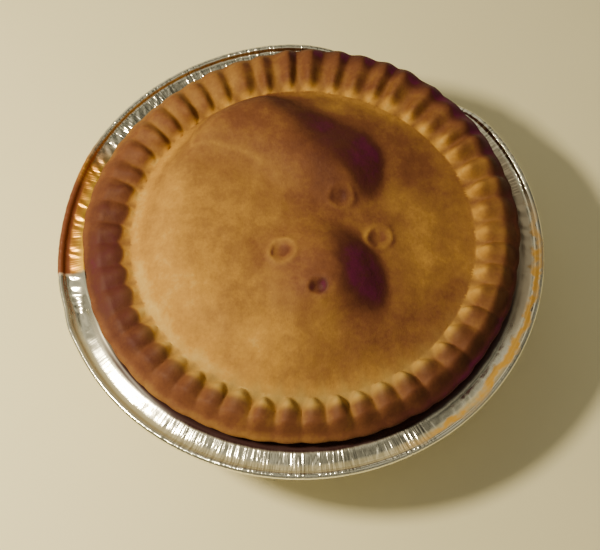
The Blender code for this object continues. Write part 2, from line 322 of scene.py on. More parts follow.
world = bpy.data.worlds.new("soft_room")
bpy.context.scene.world = world
room = Look(world, "Background")
directions = room.node("ShaderNodeTexCoord", output="Generated")
clouds = room.node("ShaderNodeTexNoise", {}, {"Vector": directions, "Scale": ROOM_CLOUDS})
brightness = room.node("ShaderNodeMapRange", {}, dict(enumerate((clouds, *ROOM_LEVELS))))
for towards, edge, core, strength in BRIGHT_WALLS:
    facing = room.node(
        "ShaderNodeVectorMath", {"operation": "DOT_PRODUCT"}, {0: directions, 1: towards}, "Value"
    )
    wall = room.node("ShaderNodeMapRange", {}, {0: facing, 1: edge, 2: core, 4: strength})
    brightness = brightness + wall
room.set(Color=FILL_COLOUR, Strength=brightness)
print("room:", len(BRIGHT_WALLS), "bright walls")

# %% [markdown]
# ## The pastry: a disc of even triangles
# The lid carries small things, such as the steam holes, so its mesh should be equally fine all
# over. A circle filled with rings gets crowded in the middle. A hexagon that is subdivided into
# small triangles is even everywhere, and it turns into a disc when each of its hexagonal rings
# is pushed out onto a circle.

# %% The lid's disc
LID_R = 0.0464  # out to the foot of the crimps' inner ends
MOAT_Z = 0.0330  # the low ring between the crimps and the lid's puffed part
HEXAGON_SIDE = 125  # triangles along each side
FIRST_CUT = 25  # the side is cut into these parts first, and each part again
TOUCHING = 1e-6  # corners this close to a circle or a level lie on it

start_clean()
bpy.ops.mesh.primitive_circle_add(
    vertices=6, radius=LID_R, fill_type="TRIFAN", location=(0, 0, MOAT_Z)
)
pie = bpy.context.object
pie.name = "baked_pie"
bpy.ops.object.transform_apply()
bpy.ops.object.mode_set(mode="EDIT")
bpy.ops.mesh.select_all(action="SELECT")
bpy.ops.mesh.subdivide(number_cuts=FIRST_CUT - 1)
bpy.ops.mesh.subdivide(number_cuts=HEXAGON_SIDE // FIRST_CUT - 1)
bpy.ops.object.mode_set(mode="OBJECT")


def rounded_hexagon(corners):
    """Moves each hexagonal ring of corners onto a circle, evenly spaced."""
    normals = np.radians(60 * np.arange(6))
    reach = corners[:, :1] * np.cos(normals) + corners[:, 1:2] * np.sin(normals)
    side = reach.argmax(1)
    apothem = LID_R * math.cos(math.pi / 6)
    ring = reach.max(1) / apothem
    along = -corners[:, 0] * np.sin(normals[side]) + corners[:, 1] * np.cos(normals[side])
    share = along / np.maximum(ring, TOUCHING) / LID_R
    angle = normals[side] + share * math.pi / 3
    return np.stack((ring * LID_R * np.cos(angle), ring * LID_R * np.sin(angle), corners[:, 2]), 1)


write_corners(pie, rounded_hexagon(read_corners(pie)))
print("lid:", len(pie.data.polygons), "triangles")

# %% [markdown]
# ## The rim and the sides
# The disc's open edge is extruded outwards ring by ring, as a modeller would with E and S: flat
# rings for the crimped band first, then down round the cut edge, back under it, and down the
# tapered side that the dish shaped. The last ring is filled to close the base.

# %% The pastry's rings
BAND_RINGS = 26  # rings across the crimped band
RIM_R = 0.0586
# radii and heights in millimetres, round the cut edge and then down the side
EDGE = (
    (58.85, 31.35), (59.00, 31.00), (58.90, 30.60), (58.55, 30.30), (58.00, 30.00),
    (57.40, 29.40),
)
SIDE = ((56.75, 28.55), (56.22, 26.20), (48.82, 3.60), (47.60, 1.40), (45.60, 0.85))


def select_open_edge():
    """Selects the ring of edges where a mesh is still open."""
    bpy.ops.mesh.select_mode(type="EDGE")
    bpy.ops.mesh.select_all(action="DESELECT")
    bpy.ops.mesh.select_non_manifold()


def extrude_and_close(piece, section):
    """Extrudes a piece's open edge through a section of (radius, height), and fills its end."""
    bpy.ops.object.mode_set(mode="EDIT")
    select_open_edge()
    for (radius, height), (new_radius, new_height) in zip(section, section[1:]):
        bpy.ops.mesh.extrude_edges_move(
            TRANSFORM_OT_translate={"value": (0, 0, new_height - height)}
        )
        factor = new_radius / radius
        bpy.ops.transform.resize(value=(factor, factor, 1))
    bpy.ops.mesh.edge_face_add()
    bpy.ops.mesh.select_all(action="SELECT")
    bpy.ops.mesh.normals_make_consistent(inside=False)
    bpy.ops.object.mode_set(mode="OBJECT")
    print(piece.name, "has", len(piece.data.vertices), "corners")


band = [(radius, MOAT_Z) for radius in np.linspace(LID_R, RIM_R, BAND_RINGS + 1)]
extrude_and_close(pie, band + [(radius * MM, height * MM) for radius, height in EDGE + SIDE])

# %% [markdown]
# ## The lid's relief
# Steam puffs a lid up in lobes, each steep at its foot and flat on top. A lobe is drawn here as
# one closed curve for its foot, and each point of the curve also says how far in from there the
# dough takes to reach the top: a short way makes a steep side, dark where it turns from the
# lamp, and a long way makes a gentle slope. Near the middle a mound ends in a small round
# cliff, whose foot is part of a circle. The higher of the lobes wins, with the crease
# between them rounded.

# %% Lobes
LID_DOME = 0.0016
CLIFF_CURVE = 1.7
LOBE_BLEND = 0.0050
BLEND_ABOVE = 0.0035  # both lobes are this high where they blend fully
OUTLINE_STEPS = 6
BROAD_HEIGHT = 0.0060
FAR_HEIGHT = 0.0092
# each lobe: (x, y, way in to the top) round its foot, in millimetres
BROAD_LOBE = (
    (-45, 2, 13), (-41.5, -17, 13), (-31, -33, 15), (-12, -44.5, 18), (8, -45, 24),
    (27, -36.5, 40), (40, -21, 60), (45, 0, 78), (39.5, 22, 68), (25, 38, 40), (8, 45, 22),
    (-10, 44.5, 14), (-27, 36.5, 12), (-39, 22.5, 11),
)
FAR_LOBE = (
    (-33, 23.0, 11), (-28, 36.0, 9), (-18, 43.0, 9), (-8, 45.0, 10), (3, 39.8, 12),
    (11, 33.8, 15), (18.8, 30.2, 18), (23.4, 24.5, 19), (24.4, 17.6, 19), (23.0, 11, 17),
    (18.5, 6, 14), (9, 5, 16), (-3, 7.5, 17), (-14, 14.0, 17), (-24, 19.0, 15),
)
# the near cliff's foot is part of a circle, and the mound behind it dies away in all directions
CLIFF_CENTRE = (0.0031, -0.0181)
CLIFF_R = 0.0195
CLIFF_WIDTH = 0.0130
CLIFF_HEIGHT = 0.0055
MOUND_WEST = (-0.014, 0.010)  # from nothing to its full height
MOUND_SOUTH = (-0.030, -0.018)
MOUND_NORTH = (0.016, -0.006)


def outline(points):
    """A smooth closed curve through a lobe's points, as rows of x, y and way in."""
    knots = np.array(points) * MM
    before, after, last = np.roll(knots, 1, 0), np.roll(knots, -1, 0), np.roll(knots, -2, 0)
    rows = []
    for step in range(OUTLINE_STEPS):
        t = step / OUTLINE_STEPS
        pull = (after - before) * t + (2 * before - 5 * knots + 4 * after - last) * t**2
        rows.append(knots + 0.5 * (pull + (3 * knots - before - 3 * after + last) * t**3))
    return np.stack(rows, 1).reshape(-1, 3)


def lobe_height(x, y, height, points):
    """A lobe's height over points of the lid."""
    start = outline(points)
    share_in = np.ones(len(x))
    inside = np.zeros(len(x), bool)
    for (x0, y0, way0), (x1, y1, way1) in zip(start, np.roll(start, -1, 0)):
        run_x, run_y = x1 - x0, y1 - y0
        t = np.clip(((x - x0) * run_x + (y - y0) * run_y) / (run_x**2 + run_y**2), 0, 1)
        distance = np.hypot(x - x0 - t * run_x, y - y0 - t * run_y)
        share_in = np.minimum(share_in, distance / (way0 + t * (way1 - way0)))
        if y0 != y1:
            inside ^= ((y0 > y) != (y1 > y)) & (x < x0 + run_x * (y - y0) / run_y)
    return np.where(inside, height * (1 - (1 - share_in) ** 2), 0.0)


def cliff_height(x, y):
    """What the near cliff and its mound add: nothing beyond the foot, most along the top."""
    inwards = CLIFF_R - np.hypot(x - CLIFF_CENTRE[0], y - CLIFF_CENTRE[1])
    height = 1 - (1 - np.clip(inwards / CLIFF_WIDTH, 0, 1)) ** CLIFF_CURVE
    for across, (start, end) in ((x, MOUND_WEST), (y, MOUND_SOUTH), (y, MOUND_NORTH)):
        height = height * climb(across, start, end - start)
    return CLIFF_HEIGHT * height


def higher(a, b):
    """The higher of two lobes, with the crease between them filled, but not their feet."""
    near = np.maximum(0.0, LOBE_BLEND - abs(a - b)) / LOBE_BLEND
    return np.maximum(a, b) + near**2 * LOBE_BLEND / 4 * ease(np.minimum(a, b) / BLEND_ABOVE)


# %% [markdown]
# ## The steam holes
# Four small holes were pressed in a rectangle before baking. Each has a pit with sloping sides,
# gentler on the left, and a soft ring of pushed-up dough round it. The puffing of the lid
# stretched and filled them all a little differently, so each has its own sizes.

# %% Steam holes
# x, y, hole radius, depth, ring radius, ring height, in millimetres
STEAM_HOLES = (
    (-4.6, -8.9, 2.7, 0.55, 3.7, 0.30),
    (5.3, -20.3, 2.6, 1.20, 3.3, 0.08),
    (11.3, 8.2, 2.4, 0.40, 3.3, 0.16),
    (21.5, -3.4, 2.5, 0.32, 3.4, 0.16),
)
HOLE_TAPER = 0.15  # the pit's flat floor, as a share of its mouth
HOLE_LEAN = 0.28  # the wall is gentler on the left
HOLE_WAVES = ((0.05, 2), (0.03, 5))  # how far from round, and in how many waves
RING_WIDTH = 0.0009
RING_UNEVEN = 0.25
RING_WAVES = 3


def steam_hole_height(x, y, hole):
    """What a hole and its ring add to the lid's height."""
    centre_x, centre_y, mouth, depth, ring_at, ring = (value * MM for value in hole)
    angle = np.arctan2(y - centre_y, x - centre_x)
    (oval, twice), (wavy, often) = HOLE_WAVES
    uneven = 1 + oval * np.sin(twice * angle + centre_x / MM) + wavy * np.sin(often * angle)
    distance = np.hypot(x - centre_x, y - centre_y) * uneven
    floor_r = mouth * HOLE_TAPER
    leaning = distance + HOLE_LEAN * (x - centre_x)
    pit = depth * (1 - climb(leaning, floor_r, mouth - floor_r))
    broken = 1 + RING_UNEVEN * np.sin(RING_WAVES * angle + centre_y / MM)
    return ring * broken * hill(distance, ring_at, RING_WIDTH) - pit


# %% [markdown]
# ## The crimps
# Fifty crimps run round the rim. Each is a rounded finger of dough: steep at its inner end,
# highest a little way out, and falling to a flat lip before the cut edge. No two are quite
# alike, so a seeded draw gives each its width, height, inner end and lean. They also change
# slowly round the pie: on the far side they run on to the cut edge, and on the left they are
# shallow.

# %% Crimps
CRIMPS = 50
CRIMP_SEED = 11
CRIMP_PHASE = -4.1  # degrees from +X, of the first groove
CRIMP_JITTER = 0.09
CRIMP_UNEVEN = 0.20
CRIMP_LEAN = 0.09
CRIMP_HEIGHT = 0.0027
CRIMP_FULLNESS = 1.15  # above 1 for grooves with a round floor
GROOVE_FILL = 0.35  # how much shallower the grooves are further out
CRIMP_TIP = 0.0466  # the ridges' rounded inner ends
CRIMP_SCALLOP = 0.0026  # how much further out the grooves begin
CRIMP_RISE = 0.0026  # from a tip to the full height
CRIMP_DROOP = 0.25  # how much lower a ridge is near its outer end
DROOP_FROM = 0.0490
FILL_RUN = 0.0060  # the grooves get shallower over this run
CRIMP_END = 0.0538  # where the ridges fall to the lip
LIP_FROM = 0.0577
LIP_FALL = 0.0029  # the lip slopes down to the cut edge
LIP_FALLS = (0.0540, 0.0066)  # from this radius, and over this run
GROOVE_RISE = 0.0009
GROOVE_RISES = (LID_R, 0.005)
FAR_SIDE = 80  # degrees from +X: there the ridges and grooves run on to the cut edge
FAR_SPREAD = 65
FAR_RUN = 0.0028
FAR_RISE = 1.4  # and rise that much more slowly
FAR_ROUND = 0.6  # rounder grooves
FAR_LESS = 0.5  # there the grooves fill and the lip falls only half as much
FLATTER_SIDE = (195, 45)  # the ridges on the left are shallower
FLATTER = 0.52
FLATTER_RISE = 0.9  # and rise that much more slowly
INNER_WANDER = 0.0006  # how far the inner ends stray from their circle


def drawn(dice, count, low, high):
    """So many seeded draws between two values."""
    return np.array([dice.uniform(low, high) for _ in range(count)])


dice = random.Random(CRIMP_SEED)
jitter = drawn(dice, CRIMPS, -CRIMP_JITTER, CRIMP_JITTER)
GROOVES = CRIMP_PHASE + 360 / CRIMPS * (np.arange(CRIMPS) + jitter)
GROOVES = np.append(GROOVES, GROOVES[0] + 360)
RIDGE_HEIGHTS = drawn(dice, CRIMPS, 1 - CRIMP_UNEVEN, 1 + CRIMP_UNEVEN)
RIDGE_ENDS = drawn(dice, CRIMPS, -INNER_WANDER, INNER_WANDER)
RIDGE_LEANS = drawn(dice, CRIMPS, -CRIMP_LEAN, CRIMP_LEAN)
print("crimps:", span(np.diff(GROOVES)), "degrees wide")


def between(degrees, edges):
    """Between which two edges round the axis a point lies, and its share of the way there."""
    degrees = (degrees - edges[0]) % 360 + edges[0]
    at = np.clip(np.searchsorted(edges, degrees, side="right") - 1, 0, len(edges) - 2)
    return at, (degrees - edges[at]) / (edges[at + 1] - edges[at])


def crimp_waves(degrees):
    """For each point: its ridge's number, and the wave's height across it, from 0 to 1."""
    ridge, share = between(degrees, GROOVES)
    lean = RIDGE_LEANS[ridge] * np.sin(math.pi * share)
    return ridge, np.sin(math.pi * np.clip(share + lean, 0, 1)) ** CRIMP_FULLNESS


def crimp_height(radius, degrees):
    """The band's height over the floor."""
    ridge, wave = crimp_waves(degrees)
    far = hill_round(degrees, FAR_SIDE, FAR_SPREAD)
    tip = CRIMP_TIP + RIDGE_ENDS[ridge] + CRIMP_SCALLOP * (1 - wave)
    flatter = hill_round(degrees, *FLATTER_SIDE)
    rise = CRIMP_RISE * (1 + FLATTER_RISE * flatter + FAR_RISE * far)
    inner = 1 - (1 - np.clip((radius - tip) / rise, 0, 1)) ** 2
    droop = 1 - CRIMP_DROOP * climb(radius, DROOP_FROM, CRIMP_END - DROOP_FROM)
    outer = droop * (1 - climb(radius, CRIMP_END + FAR_RUN * far, LIP_FROM - CRIMP_END))
    filled = GROOVE_FILL * (1 - FAR_LESS * far) * climb(radius, DROOP_FROM, FILL_RUN)
    ridged = wave ** (1 + FAR_ROUND * far)
    shape = ridged + (1 - ridged) * filled
    floor_z = MOAT_Z + GROOVE_RISE * climb(radius, *GROOVE_RISES)
    floor_z -= LIP_FALL * (1 - FAR_LESS * far) * climb(radius, *LIP_FALLS)
    height = CRIMP_HEIGHT * RIDGE_HEIGHTS[ridge] * (1 - FLATTER * flatter)
    return floor_z + height * inner * outer * shape


# %% [markdown]
# ## A rim that isn't quite round
# Hands press the crimps, so their inner ends don't lie on a true circle, and the cut edge hangs
# out further on one side, where it also rides up on the dish. Everything between follows.

# %% The rim's plan
# how far out, and how far shifted, towards so many degrees from +X
ENDS_MOVE = (0.0005, 0.0012, 325)
EDGE_MOVES = (0.00085, 0.00055, 10)
BULGE = 0.0010
BULGE_LIFT = 0.0010
BULGE_SIDE = (58, 32)  # where, and how widely
# each part moves from nothing to most, or back, from a radius and over a run
ENDS_GROW = (0.0390, 0.0070)
ENDS_FADE = (0.0480, 0.0095)
EDGE_GROWS = (0.0480, 0.0105)
LIFT_GROWS = (0.0500, 0.0080)


def rim_shift(radius, degrees):
    """How far out a point of the top moves."""
    at_ends = climb(radius, *ENDS_GROW) * (1 - climb(radius, *ENDS_FADE))
    edge = lopsided(degrees, *EDGE_MOVES) + BULGE * hill_round(degrees, *BULGE_SIDE)
    return lopsided(degrees, *ENDS_MOVE) * at_ends + edge * climb(radius, *EDGE_GROWS)


def rim_lift(radius, degrees):
    """How far up it moves."""
    return BULGE_LIFT * hill_round(degrees, *BULGE_SIDE) * climb(radius, *LIFT_GROWS)


# %% [markdown]
# ## Moving the pastry into shape
# The flat disc and band are lifted by the height functions. Computed lobes have crisp feet and
# creases, which dough never has, so the lid is softened with the Smooth Vertices tool, as by
# hand, and only then are the small holes pressed in.

# %% The pastry's relief
SOFTENING = 30  # rounds of smoothing for the lid's lobes
LID_MARGIN = 0.0002  # the lid's outermost ring stays where it is
EDGE_LOW_Z = 0.0290  # the cut edge lies above this, and the side below it
CREASE_WIDTH = 0.0008  # in height: the crease is where both lobes are about as high
CREASE_FULL = 0.0040

x, y, z, radius, degrees = read_round(pie)
on_top = z > MOAT_Z - TOUCHING
on_lid = on_top & (radius <= LID_R + TOUCHING)
on_band = on_top & ~on_lid
on_edge = ~on_top & (z > EDGE_LOW_Z)

lid_x, lid_y = x[on_lid], y[on_lid]
near = lobe_height(lid_x, lid_y, BROAD_HEIGHT, BROAD_LOBE) + cliff_height(lid_x, lid_y)
far = lobe_height(lid_x, lid_y, FAR_HEIGHT, FAR_LOBE)
z[on_lid] = MOAT_Z + LID_DOME * (1 - (radius[on_lid] / LID_R) ** 2) + higher(near, far)
z[on_band] = crimp_height(radius[on_band], degrees[on_band])
write_corners(pie, np.stack((x, y, z), 1))

pick(pie)
bpy.ops.object.mode_set(mode="EDIT")
bpy.ops.mesh.select_mode(type="VERT")
bpy.ops.mesh.select_all(action="DESELECT")
bpy.ops.object.mode_set(mode="OBJECT")
pie.data.vertices.foreach_set("select", on_lid & (radius < LID_R - LID_MARGIN))
bpy.ops.object.mode_set(mode="EDIT")
bpy.ops.mesh.vertices_smooth(factor=1.0, repeat=SOFTENING)
bpy.ops.object.mode_set(mode="OBJECT")

crease = np.zeros(len(x))
crease[on_lid] = hill(near - far, 0, CREASE_WIDTH) * ease(np.minimum(near, far) / CREASE_FULL)
print("lid rises to", round(read_corners(pie)[:, 2].max() / MM, 1), "mm before the holes")

# %% [markdown]
# ## The steam holes' pits and the cut edge
# The cut edge is pushed out a little by each ridge and wanders slightly, as a knife-trimmed edge
# does. The push fades out towards the straight sides, which stay inside the dish.

# %% Holes pressed in and the edge pushed out
EDGE_WAVES = ((0.00030, 2, 0.6), (0.00022, 5, 0), (0.00012, 13, 0))  # size, waves, turn
RIDGE_PUSH = 0.0003
MIDDLING = 0.6  # a ridge higher than this pushes out, a lower one draws in
PUSH_GROWS = (0.0540, 0.0046)
PUSH_FADES = (0.0288, 0.0010)  # by height, below the cut edge

x, y, z, radius, degrees = read_round(pie)
for hole in STEAM_HOLES:
    z[on_lid] += steam_hole_height(x[on_lid], y[on_lid], hole)

angle = np.radians(degrees)
wander = sum(size * np.sin(waves * angle + turn) for size, waves, turn in EDGE_WAVES)
wander += RIDGE_PUSH * (crimp_waves(degrees)[1] - MIDDLING)
push = wander * climb(radius, *PUSH_GROWS) + rim_shift(radius, degrees)
above_side = np.where(on_top, 1.0, climb(z, *PUSH_FADES))
scale = 1 + push * above_side / np.maximum(radius, TOUCHING)
drawn_radius = radius  # before the rim goes out of round
lift = rim_lift(radius, degrees) * above_side
write_corners(pie, np.stack((x * scale, y * scale, z + lift), 1))
eastward = read_corners(pie, "normal")[:, 0]  # before the lumps below disturb it
print("pastry reaches", round(float((radius * scale).max()) / MM, 1), "mm from the axis")

# %% [markdown]
# ## Uneven dough
# Real dough is never smooth: it has soft lumps a few millimetres wide and finer ones on them.
# A Displace modifier moves the corners along their normals by a soft procedural cloud, and a
# vertex group keeps it to the top, so that the side still fits in the dish.

# %% Lumps in the dough
LUMPS = ((0.0110, 1, 0.00055), (0.0030, 2, 0.00022))  # size, depth of the cloud, strength
SHARPEST_DOUGH = 60  # degrees between faces that still shade as one

top_group = pie.vertex_groups.new(name="top")
top_group.add([int(i) for i in np.flatnonzero(on_top | on_edge)], 1.0, "REPLACE")
pick(pie)
for size, depth, strength in LUMPS:
    cloud = bpy.data.textures.new("cloud", "CLOUDS")
    cloud.noise_scale = size
    cloud.noise_depth = depth
    lumps = pie.modifiers.new("lumps", "DISPLACE")
    lumps.texture = cloud
    lumps.texture_coords = "LOCAL"
    lumps.strength = strength
    lumps.vertex_group = top_group.name
    bpy.ops.object.modifier_apply(modifier=lumps.name)
bpy.ops.object.shade_smooth_by_angle(angle=math.radians(SHARPEST_DOUGH))
print("lumps of", *(f"{size / MM:.0f}" for size, depth, strength in LUMPS), "mm")

# %% [markdown]
# ## How brown the pastry is
# An oven browns what stands highest: here the crimps on the left. The crimps' outer ends at the
# right and the steep sides of the lobes that face right, away from the lamp, are darker still:
# real browning, with painted shade added. The browning is worked out where the shape is known,
# at the corners, from 0, pale dough, to 1, dark brown. The lid starts evenly golden, and
# patches, steep sides, pits and rings change that.

# %% The lid's browning
# soft patches on the lid: x, y, reach across and along, in millimetres, and how much browner
# the browner patches on the blister and along the lobes' right sides add painted shade to the real
# browning there
PATCHES = (
    (-4, 37, 18, 10, 0.19), (8, 29, 12, 10, 0.12), (14, 24, 10, 11, 0.17),
    (7, 18, 6, 9, 0.20), (4, 22, 12, 10, 0.09), (-6, 42, 12, 4, 0.14),
    (-12, 46, 7, 3, 0.20), (-20, 33, 8, 7, 0.10), (10, 38, 6, 3, -0.16),
    (-14, 21, 13, 7, 0.09), (-14, 33, 10, 8, 0.07), (5, 9, 10, 5, 0.12),
    (11, 4, 9, 6, 0.08), (24, 2, 6, 4, 0.14), (-1, -15, 10, 22, 0.12),
    (13.5, -17, 7, 9, 0.24), (9, -8, 12, 15, 0.06), (8, -38, 14, 5, 0.06),
    (23, -31, 14, 8, 0.10), (33, -30, 9, 8, 0.10), (36, -8, 6, 7, -0.04),
    (41, -20, 6, 10, 0.14), (27, -12, 4, 8, 0.13), (18.5, -3.6, 2.4, 3, -0.12),
    (-9.5, -9.5, 3, 5, 0.09), (-26, -14, 8, 9, -0.13), (33, 22, 10, 12, 0.20),
    (33, 1, 5, 12, -0.14), (2, -20, 4, 10, 0.07), (40, 4, 8, 26, 0.05),
    (27, 3, 5, 9, -0.06), (-40, -10, 12, 30, -0.12), (-8, -34, 20, 9, -0.14),
)
PLAIN_LID = 0.34
LEE_BROWN_AND_SHADE = 0.52
LEE = (0.10, 0.46)  # from how far a face turns to the right, and over what more
CREASE_PALER = 0.10
CREASE_WEST = (0.003, 0.008)  # only from so far left of the middle
PIT_BROWNER = 0.10
PIT_DEEPER = 0.26  # and for each millimetre of depth
PIT_WALL = (0.45, 0.50)  # shares of the mouth: where a pit's brown begins to fade, and its run
PIT_SIDE = (-2.4, 3.8)  # a pit is browner on its right
RING_PALER = 0.30
RING_REACH = 0.7
MOAT_PALER = 0.12
MOAT_AT = 0.0452
MOAT_WIDTH = 0.0020
RIGHT_SPREAD = 60

x, y, z, radius, degrees = read_round(pie)

bake = np.full(len(x), PLAIN_LID)
for px, py, across, along, more in PATCHES:
    bake += more * hill(x / MM, px, across) * hill(y / MM, py, along)
# faces turned right, away from the lamp, get darker: real browning with painted shade added
bake += LEE_BROWN_AND_SHADE * climb(eastward, *LEE)
bake -= CREASE_PALER * crease * climb(-x, *CREASE_WEST)
for hole_x, hole_y, mouth, depth, ring_at, ring in STEAM_HOLES:
    away = np.hypot(x / MM - hole_x, y / MM - hole_y)
    pit = 1 - climb(away, PIT_WALL[0] * mouth, PIT_WALL[1] * mouth)
    bake += (PIT_BROWNER + PIT_DEEPER * depth) * pit * climb(x / MM - hole_x, *PIT_SIDE)
    bake -= RING_PALER * ring * hill(away, ring_at, RING_REACH)
moat = hill(drawn_radius, MOAT_AT, MOAT_WIDTH)
bake -= MOAT_PALER * (1 - hill_round(degrees, 0, RIGHT_SPREAD)) * moat
print("lid's bake:", span(bake[on_lid]))

# %% [markdown]
# ## The rim's browning
# Round the rim it comes from a short table, read between its rows. A crimp is pale at its inner
# end, as far out as the table says, then as brown as its row says along its top, at its outer
# end and on the lip, with the groove beside it a little different.

# %% The rim's table
# degrees from +X: the ridges' pale inner length in millimetres, then how brown their tops, the
# grooves, the outer ends and the lip are
# at the right, the dark values of the outer ends and lips add painted shade, on the side turned
# from the lamp, to real browning
ROUND_THE_RIM = (
    (0, 3.4, 0.38, 0.44, 0.66, 0.70),
    (22, 3.0, 0.40, 0.46, 0.94, 0.92),
    (45, 2.4, 0.54, 0.54, 0.98, 0.98),
    (68, 2.0, 0.56, 0.50, 0.76, 0.78),
    (90, 1.6, 0.59, 0.45, 0.53, 0.60),
    (110, 1.6, 0.46, 0.30, 0.42, 0.44),
    (135, 1.5, 0.51, 0.36, 0.44, 0.36),
    (160, 1.8, 0.65, 0.49, 0.60, 0.46),
    (190, 2.4, 0.86, 0.88, 0.86, 0.66),
    (210, 2.7, 0.84, 0.80, 0.76, 0.54),
    (230, 2.9, 0.71, 0.58, 0.59, 0.42),
    (255, 4.0, 0.67, 0.43, 0.57, 0.42),
    (272, 4.4, 0.68, 0.40, 0.58, 0.46),
    (290, 3.4, 0.68, 0.44, 0.67, 0.72),
    (315, 2.9, 0.63, 0.50, 0.80, 0.98),
    (340, 2.8, 0.48, 0.46, 0.70, 0.90),
)
OUTER_FROM = 0.0526
OUTER_BY_RIDGE = 0.0010  # further out on a ridge than in a groove
OUTER_RUN = 0.0044
PALE_TIP = 0.10
BETWEEN_TIPS = 0.28  # how much browner the gaps between the tips are
RIGHT_TIPS = 0.06  # and the tips at the right
RIGHT_SIDE = (20, 60)
PALE_BLUR = 2.8  # millimetres, as are the next two
SCALLOPED = 1.3  # on the left the brown reaches further in on the ridges
LEFT_SHARPER = 1.5  # and its end is sharper there
LEFT_SIDE = (190, 50)
LIP_BROWNS = (0.0566, 0.0020)
RIM_LEE = (0.12, 0.40)
RIM_LEE_GROWS = (0.0525, 0.0045)
RIM_LEE_SHADE = 0.42
RIM_LEE_SPREAD = 38

turns, *columns = np.array(ROUND_THE_RIM).T
pale_end, top, groove, outer_end, lip = (
    np.interp(degrees, turns, column, period=360) for column in columns
)
ridge, wave = crimp_waves(degrees)
from_tip = (drawn_radius - CRIMP_TIP - RIDGE_ENDS[ridge]) / MM
left = hill_round(degrees, *LEFT_SIDE)

band = groove + (top - groove) * wave
band += (outer_end - band) * climb(drawn_radius, OUTER_FROM + OUTER_BY_RIDGE * wave, OUTER_RUN)
pale = PALE_TIP + BETWEEN_TIPS * (1 - wave)
pale += RIGHT_TIPS * hill_round(degrees, *RIGHT_SIDE)
browned = from_tip - pale_end + SCALLOPED * left * (wave - MIDDLING)
band += (pale - band) * (1 - ease(browned / (PALE_BLUR - LEFT_SHARPER * left) + 0.5))
band += (lip - band) * climb(drawn_radius, *LIP_BROWNS)
# on the far side, faces turned right, away from the lamp, are darkened: painted shade
lee = climb(eastward, *RIM_LEE) * climb(drawn_radius, *RIM_LEE_GROWS)
band += RIM_LEE_SHADE * lee * hill_round(degrees, FAR_SIDE, RIM_LEE_SPREAD)
on_rim = drawn_radius > LID_R
print("rim's bake:", span(band[on_rim]))

# %% [markdown]
# ## Attributes that the material reads
# Both parts are kept on the mesh as an attribute named bake, with one even brown for the side.
# A second attribute, doughy, marks the ring by the near crimps, where the dough stayed pale and
# a little green, which no step from gold to brown gives.

# %% The bake and doughy attributes
SIDE_BROWN = 0.42
SIDE_BELOW = 0.0306
SIDE_BLUR = 0.0008
DOUGHY_SIDE = (268, 50)
DOUGHY_AT = 0.0468
DOUGHY_BY_RIDGE = 0.0012
DOUGHY_WIDTH = 0.0026

underneath = ease((SIDE_BELOW - z) / SIDE_BLUR)
bake = np.where(on_rim, band, bake) * (1 - underneath) + SIDE_BROWN * underneath
doughy = hill(drawn_radius, DOUGHY_AT + DOUGHY_BY_RIDGE * wave, DOUGHY_WIDTH)
doughy *= hill_round(degrees, *DOUGHY_SIDE)
for name, amount in (("bake", bake), ("doughy", doughy)):
    amount = np.clip(amount, 0, 1).astype(np.float32)
    pie.data.attributes.new(name, "FLOAT", "POINT").data.foreach_set("value", amount)
    print(name, span(amount))

# %% [markdown]
# ## The foil: one section, pushed round the axis
# A foil dish is pressed from a thin disc, so its section is simple: a flat floor, a tight foot,
# a leaning wall, a flange that falls outwards, and an edge rolled into a bead. A disc is
# extruded along the section's outer face, over the bead and back along the inner face, which
# makes a thin closed shell.

# %% The foil's rings
FOIL_SIDES = 1800
# radii and heights in millimetres: up the outer face, round the bead and back on the inner face
FLOOR_EDGE = (45.0, 0.0)
FOOT = ((46.3, 2.7), 2.7, -90, -19, 4)
OUTER_FACE = (
    (51.6, 10.0), (54.3, 18.2), (56.75, 25.9), (57.3, 26.65), (57.9, 27.05), (58.5, 27.55),
    (59.0, 28.15), (59.6, 28.46), (60.3, 28.40), (61.8, 28.05), (63.9, 27.15), (64.8, 27.02),
)
BEAD = ((66.2, 27.85), 0.95, -125, 160, 12)
INNER_FACE = (
    (65.15, 27.98), (64.95, 27.78), (64.65, 27.66), (64.3, 27.62), (64.0, 27.64), (63.7, 27.70),
    (63.2, 27.84), (62.6, 28.02), (62.0, 28.21), (61.4, 28.36), (60.7, 28.57), (60.1, 28.70),
    (59.6, 28.72), (59.2, 28.58), (58.8, 28.30), (58.2, 27.75), (57.6, 27.3), (57.0, 26.8),
    (56.55, 25.9), (48.95, 2.6), (48.0, 0.9), (46.3, 0.15), (45.0, 0.15),
)


def arc(centre, size, start, end, steps):
    """Points on an arc of a section, with angles in degrees."""
    turns = [math.radians(start + (end - start) * step / steps) for step in range(steps + 1)]
    return [(centre[0] + size * math.cos(t), centre[1] + size * math.sin(t)) for t in turns]


section = [FLOOR_EDGE, *arc(*FOOT), *OUTER_FACE, *arc(*BEAD), *INNER_FACE]

start_clean()
bpy.ops.mesh.primitive_circle_add(vertices=FOIL_SIDES, radius=FLOOR_EDGE[0] * MM, fill_type="NGON")
foil = bpy.context.object
foil.name = "pleated_foil"
extrude_and_close(foil, [(radius * MM, height * MM) for radius, height in section])

# %% [markdown]
# ## Pleats
# Pressing a flat disc into a dish gathers the foil into many small pleats. They are pushed
# outwards on the wall and upwards on the flange, and almost ironed flat in the bead. Each pleat
# gets its own width, height and lean from a seeded draw.

# %% Drawn pleats
PLEATS = 124
PLEAT_SEED = 5
PLEAT_WIDTHS = (0.55, 1.45)
PLEAT_LOWEST = 0.25
PLEAT_LEANS = (0.25, 0.75)

dice = random.Random(PLEAT_SEED)
widths = drawn(dice, PLEATS, *PLEAT_WIDTHS)
PLEAT_EDGES = np.append(0, np.cumsum(widths)) * 360 / widths.sum()
PLEAT_HEIGHTS = PLEAT_LOWEST + (1 - PLEAT_LOWEST) * drawn(dice, PLEATS, 0, 1) ** 2
PLEAT_PEAKS = drawn(dice, PLEATS, *PLEAT_LEANS)


